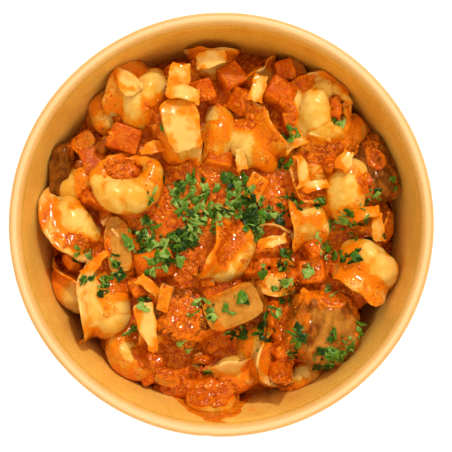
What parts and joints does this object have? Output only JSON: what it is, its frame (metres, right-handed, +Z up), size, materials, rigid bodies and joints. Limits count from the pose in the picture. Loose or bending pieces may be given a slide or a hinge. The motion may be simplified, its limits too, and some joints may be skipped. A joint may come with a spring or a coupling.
{
  "type": "tortellini in tomato sauce in a paper bowl",
  "caption": "Cooked tortellini in chunky tomato sauce with mushroom, carrot, onion and chopped parsley, in a round kraft-paper takeaway bowl with a rolled rim.",
  "frame": {"origin": "on the ground at the middle of the bowl's foot ring", "axes": "+Z up out of the bowl; +Y towards the side of the heap that was at the top as it was shown; +X to its right"},
  "size_m": [0.1498, 0.1498, 0.06],
  "materials": {
    "kraft": "satin",
    "pasta": "satin",
    "sauce": "gloss",
    "carrot": "satin",
    "mushroom": "satin",
    "onion": "gloss"
  },
  "bodies": {
    "root": {"bowl_base": "kraft", "bowl_wall": "kraft", "carrot_01": "carrot", "carrot_02": "carrot", "carrot_03": "carrot", "carrot_04": "carrot", "carrot_05": "carrot", "carrot_06": "carrot", "carrot_07": "carrot", "carrot_08": "carrot", "carrot_09": "carrot", "carrot_10": "carrot", "carrot_11": "carrot", "carrot_12": "carrot", "carrot_13": "carrot", "carrot_14": "carrot", "mushroom_01": "mushroom", "mushroom_02": "mushroom", "mushroom_03": "mushroom", "mushroom_04": "mushroom", "mushroom_05": "mushroom", "mushroom_06": "mushroom", "mushroom_07": "mushroom", "mushroom_08": "mushroom", "mushroom_09": "mushroom", "onion_01": "onion", "onion_02": "onion", "sauce": "sauce", "tortellino_01": "pasta", "tortellino_02": "pasta", "tortellino_03": "pasta", "tortellino_04": "pasta", "tortellino_05": "pasta", "tortellino_06": "pasta", "tortellino_07": "pasta", "tortellino_08": "pasta", "tortellino_09": "pasta", "tortellino_10": "pasta", "tortellino_11": "pasta", "tortellino_12": "pasta", "tortellino_13": "pasta", "tortellino_14": "pasta", "tortellino_15": "pasta", "tortellino_16": "pasta", "tortellino_17": "pasta", "tortellino_18": "pasta", "tortellino_19": "pasta", "tortellino_20": "pasta", "tortellino_21": "pasta", "tortellino_22": "pasta", "tortellino_23": "pasta", "tortellino_24": "pasta", "tortellino_25": "pasta", "tortellino_26": "pasta", "tortellino_27": "pasta", "tortellino_28": "pasta", "tortellino_29": "pasta", "tortellino_30": "pasta"}
  },
  "joints": []
}
